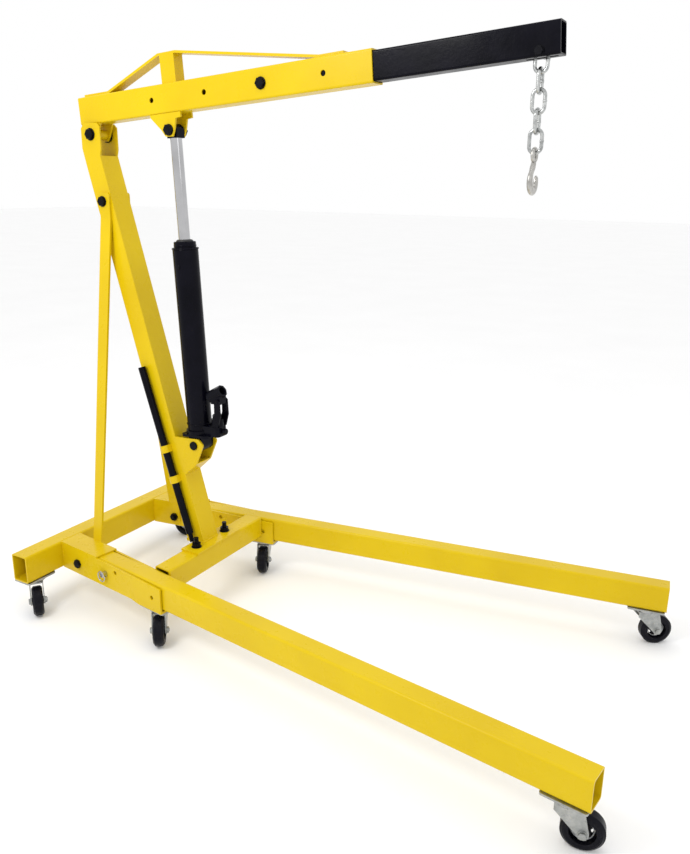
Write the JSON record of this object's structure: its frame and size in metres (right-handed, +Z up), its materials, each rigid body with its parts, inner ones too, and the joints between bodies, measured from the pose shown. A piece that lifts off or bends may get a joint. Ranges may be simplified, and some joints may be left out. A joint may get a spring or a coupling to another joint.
{
  "type": "engine hoist",
  "caption": "Wheeled workshop engine hoist: splayed legs on swivel casters, leaning mast, hydraulic ram, telescoping boom with chain and hook.",
  "frame": {"origin": "on the floor under the middle of the hoist's bounding box", "axes": "+X forward along the legs to the hook, +Y to the hoist's left, +Z up"},
  "size_m": [1.7525, 0.9446, 1.5856],
  "materials": {
    "yellow_paint": "smooth glossy bright yellow enamel over welded steel",
    "black_bolts": "black oxide bolts with a slight sheen",
    "black_enamel": "glossy black enamel, faintly orange-peeled",
    "chrome": "polished chrome plate",
    "zinc_chain": "bright zinc plate on welded chain and forged hook",
    "grey_roller": "light grey moulded roller",
    "zinc_caster": "dull zinc plate on pressed steel",
    "wheel_black": "smooth hard black tyre on a moulded hub"
  },
  "bodies": {
    "frame": {"rear_beam": "yellow_paint", "cross_beam": "yellow_paint", "socket_left": "yellow_paint", "socket_right": "yellow_paint", "leg_left": "yellow_paint", "leg_right": "yellow_paint", "strut_left": "yellow_paint", "strut_right": "yellow_paint", "mast": "yellow_paint", "foot_plate": "yellow_paint", "foot_bolts": "black_bolts", "side_bolts": "black_bolts", "pivot_bolt": "black_bolts", "ram_lower_bracket": "yellow_paint", "ram_lower_pin": "black_bolts", "handle_clips": "yellow_paint", "caster_plates": "zinc_caster"},
    "boom": {"boom_tube": "yellow_paint", "boom_lug": "yellow_paint", "boom_brace": "yellow_paint", "ram_upper_bracket": "yellow_paint", "ram_upper_bolt": "black_bolts", "lock_bolt": "black_bolts"},
    "extension": {"extension": "black_enamel", "chain_bolt": "black_bolts"},
    "ram": {"ram_cylinder": "black_enamel", "ram_base": "black_enamel", "pump_body": "black_enamel"},
    "rod": {"ram_rod": "chrome", "rod_tongue": "chrome"},
    "chain_link_1": {"chain_link_1": "zinc_chain"},
    "chain_link_2": {"chain_link_2": "zinc_chain"},
    "chain_link_3": {"chain_link_3": "zinc_chain"},
    "chain_link_4": {"chain_link_4": "zinc_chain"},
    "chain_link_5": {"chain_link_5": "zinc_chain"},
    "hook": {"hook": "zinc_chain"},
    "pump_lever": {"pump_lever": "black_enamel"},
    "pump_piston": {"pump_piston": "chrome"},
    "release_valve": {"release_valve": "black_enamel"},
    "pump_handle": {"pump_handle": "black_enamel"},
    "roller_right": {"socket_roller_right": "grey_roller"},
    "hitch_pin_right": {"hitch_pin_right": "chrome"},
    "hitch_ring_right": {"hitch_ring_right": "chrome"},
    "roller_left": {"socket_roller_left": "grey_roller"},
    "hitch_pin_left": {"hitch_pin_left": "chrome"},
    "hitch_ring_left": {"hitch_ring_left": "chrome"},
    "caster_fork_rear_right": {"caster_fork_rear_right": "zinc_caster"},
    "caster_wheel_rear_right": {"caster_wheel_rear_right": "wheel_black"},
    "caster_fork_middle_right": {"caster_fork_middle_right": "zinc_caster"},
    "caster_wheel_middle_right": {"caster_wheel_middle_right": "wheel_black"},
    "caster_fork_front_right": {"caster_fork_front_right": "zinc_caster"},
    "caster_wheel_front_right": {"caster_wheel_front_right": "wheel_black"},
    "caster_fork_rear_left": {"caster_fork_rear_left": "zinc_caster"},
    "caster_wheel_rear_left": {"caster_wheel_rear_left": "wheel_black"},
    "caster_fork_middle_left": {"caster_fork_middle_left": "zinc_caster"},
    "caster_wheel_middle_left": {"caster_wheel_middle_left": "wheel_black"},
    "caster_fork_front_left": {"caster_fork_front_left": "zinc_caster"},
    "caster_wheel_front_left": {"caster_wheel_front_left": "wheel_black"}
  },
  "joints": [
    {"name": "boom_lift", "type": "hinge", "parent": "frame", "child": "boom", "pos_m": [-0.77375, 0, 1.384], "axis": [0, -1, 0], "range_deg": [-30, 35]},
    {"name": "ram_tilt", "type": "hinge", "parent": "frame", "child": "ram", "pos_m": [-0.44775, 0, 0.512], "axis": [0, -1, 0], "range_deg": [-2, 2]},
    {"name": "rod_slide", "type": "slide", "parent": "ram", "child": "rod", "axis": [-0.05, 0, 0.9987], "range_m": [-0.1469, 0.1707]},
    {"name": "extension_slide", "type": "slide", "parent": "boom", "child": "extension", "axis": [0.9971, 0, 0.0767], "range_m": [-0.355, 0.178]},
    {"name": "link_1_swing", "type": "hinge", "parent": "extension", "child": "chain_link_1", "pos_m": [0.50173, 0, 1.52457], "axis": [0, 1, 0], "range_deg": [-38, 38]},
    {"name": "link_2_swing", "type": "hinge", "parent": "chain_link_1", "child": "chain_link_2", "pos_m": [0.50173, 0, 1.48572], "axis": [1, 0, 0], "range_deg": [-30, 30]},
    {"name": "link_3_swing", "type": "hinge", "parent": "chain_link_2", "child": "chain_link_3", "pos_m": [0.50173, 0, 1.44587], "axis": [0, 1, 0], "range_deg": [-30, 30]},
    {"name": "link_4_swing", "type": "hinge", "parent": "chain_link_3", "child": "chain_link_4", "pos_m": [0.50173, 0, 1.40602], "axis": [1, 0, 0], "range_deg": [-30, 30]},
    {"name": "link_5_swing", "type": "hinge", "parent": "chain_link_4", "child": "chain_link_5", "pos_m": [0.50173, 0, 1.36617], "axis": [0, 1, 0], "range_deg": [-30, 30]},
    {"name": "hook_swing", "type": "hinge", "parent": "chain_link_5", "child": "hook", "pos_m": [0.50173, 0, 1.32632], "axis": [1, 0, 0], "range_deg": [-35, 35]},
    {"name": "lever_stroke", "type": "hinge", "parent": "ram", "child": "pump_lever", "pos_m": [-0.36856, 0, 0.65013], "axis": [0, -1, 0], "range_deg": [-30, 0]},
    {"name": "piston_slide", "type": "slide", "parent": "ram", "child": "pump_piston", "axis": [-0.05, 0, 0.9987], "range_m": [-0.0005, 0.01]},
    {"name": "valve_turn", "type": "hinge", "parent": "ram", "child": "release_valve", "pos_m": [-0.3661, 0, 0.56114], "axis": [0.9987, 0, 0.05], "range_deg": [-180, 180]},
    {"name": "handle_slide", "type": "slide", "parent": "frame", "child": "pump_handle", "axis": [-0.2957, 0, 0.9553], "range_m": [0, 0.2]},
    {"name": "roller_spin_right", "type": "hinge", "parent": "frame", "child": "roller_right", "pos_m": [-0.73055, -0.21554, 0.148], "axis": [0.1374, 0.9905, 0], "continuous": true},
    {"name": "hitch_pull_right", "type": "slide", "parent": "frame", "child": "hitch_pin_right", "axis": [-0.1374, -0.9905, 0], "range_m": [0, 0.09]},
    {"name": "ring_swing_right", "type": "hinge", "parent": "hitch_pin_right", "child": "hitch_ring_right", "pos_m": [-0.60393, -0.27804, 0.158], "axis": [-0.7004, 0.0972, 0.7071], "range_deg": [0, 120]},
    {"name": "roller_spin_left", "type": "hinge", "parent": "frame", "child": "roller_left", "pos_m": [-0.73055, 0.21554, 0.148], "axis": [-0.1374, 0.9905, 0], "continuous": true},
    {"name": "hitch_pull_left", "type": "slide", "parent": "frame", "child": "hitch_pin_left", "axis": [-0.1374, 0.9905, 0], "range_m": [0, 0.09]},
    {"name": "ring_swing_left", "type": "hinge", "parent": "hitch_pin_left", "child": "hitch_ring_left", "pos_m": [-0.60393, 0.27804, 0.158], "axis": [0.7004, 0.0972, -0.7071], "range_deg": [0, 120]},
    {"name": "swivel_rear_right", "type": "hinge", "parent": "frame", "child": "caster_fork_rear_right", "pos_m": [-0.84375, -0.325, 0.113], "axis": [0, 0, 1], "continuous": true},
    {"name": "spin_rear_right", "type": "hinge", "parent": "caster_fork_rear_right", "child": "caster_wheel_rear_right", "pos_m": [-0.81774, -0.34532, 0.0445], "axis": [0.6157, 0.788, 0], "continuous": true},
    {"name": "swivel_middle_right", "type": "hinge", "parent": "frame", "child": "caster_fork_middle_right", "pos_m": [-0.40863, -0.26021, 0.107], "axis": [0, 0, 1], "continuous": true},
    {"name": "spin_middle_right", "type": "hinge", "parent": "caster_fork_middle_right", "child": "caster_wheel_middle_right", "pos_m": [-0.38923, -0.28691, 0.0445], "axis": [0.809, 0.5878, 0], "continuous": true},
    {"name": "swivel_front_right", "type": "hinge", "parent": "frame", "child": "caster_fork_front_right", "pos_m": [0.79781, -0.42762, 0.117], "axis": [0, 0, 1], "continuous": true},
    {"name": "spin_front_right", "type": "hinge", "parent": "caster_fork_front_right", "child": "caster_wheel_front_right", "pos_m": [0.8302, -0.42133, 0.0445], "axis": [-0.1908, 0.9816, 0], "continuous": true},
    {"name": "swivel_rear_left", "type": "hinge", "parent": "frame", "child": "caster_fork_rear_left", "pos_m": [-0.84375, 0.325, 0.113], "axis": [0, 0, 1], "continuous": true},
    {"name": "spin_rear_left", "type": "hinge", "parent": "caster_fork_rear_left", "child": "caster_wheel_rear_left", "pos_m": [-0.81125, 0.33073, 0.0445], "axis": [-0.1736, 0.9848, 0], "continuous": true},
    {"name": "swivel_middle_left", "type": "hinge", "parent": "frame", "child": "caster_fork_middle_left", "pos_m": [-0.40863, 0.26021, 0.107], "axis": [0, 0, 1], "continuous": true},
    {"name": "spin_middle_left", "type": "hinge", "parent": "caster_fork_middle_left", "child": "caster_wheel_middle_left", "pos_m": [-0.39468, 0.23031, 0.0445], "axis": [0.9063, 0.4226, 0], "continuous": true},
    {"name": "swivel_front_left", "type": "hinge", "parent": "frame", "child": "caster_fork_front_left", "pos_m": [0.79781, 0.42762, 0.117], "axis": [0, 0, 1], "continuous": true},
    {"name": "spin_front_left", "type": "hinge", "parent": "caster_fork_front_left", "child": "caster_wheel_front_left", "pos_m": [0.8258, 0.44511, 0.0445], "axis": [-0.5299, 0.848, 0], "continuous": true}
  ],
  "couplings": [
    {"joint": "ram_tilt", "follows": "boom_lift", "ratio": -0.012},
    {"joint": "rod_slide", "follows": "boom_lift", "m_per_rad": 0.2729},
    {"joint": "piston_slide", "follows": "lever_stroke", "m_per_rad": -0.018}
  ]
}
